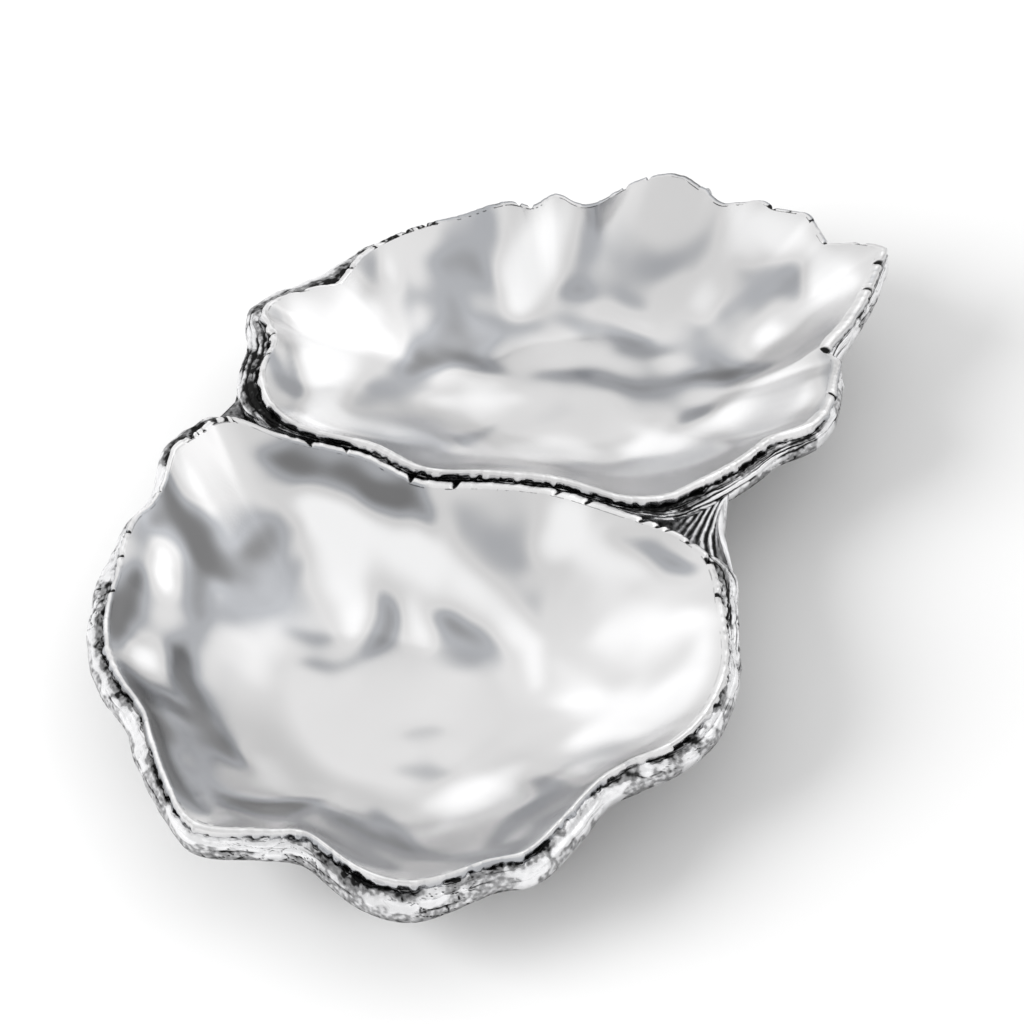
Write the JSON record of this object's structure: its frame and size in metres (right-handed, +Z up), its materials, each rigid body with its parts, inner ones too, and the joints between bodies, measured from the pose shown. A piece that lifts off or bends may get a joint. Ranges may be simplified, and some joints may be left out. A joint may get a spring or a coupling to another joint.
{
  "type": "trinket dish",
  "caption": "Shallow trinket dish like an opened oyster: polished bowls bonded into rough cast shells that a dark web ties together along the hinge line, on soft bumper feet.",
  "frame": {"origin": "middle of the dish's box, on the table under its feet", "axes": "+X along the hinge line between the shells, +Y towards the rear shell, +Z up"},
  "size_m": [0.1366, 0.2144, 0.03],
  "materials": {
    "polished_aluminium": "satin-polished casting",
    "antiqued_aluminium": "rough casting, rubbed bright on its high spots with black left in the cracks",
    "blackened_aluminium": "rough casting left mostly black",
    "silicone": "translucent grey silicone"
  },
  "bodies": {
    "root": {"front_bowl": "polished_aluminium", "rear_bowl": "polished_aluminium", "front_shell": "antiqued_aluminium", "rear_shell": "antiqued_aluminium", "bridge_web": "blackened_aluminium", "front_left_foot": "silicone", "front_right_foot": "silicone", "rear_left_foot": "silicone", "rear_right_foot": "silicone"}
  },
  "joints": []
}
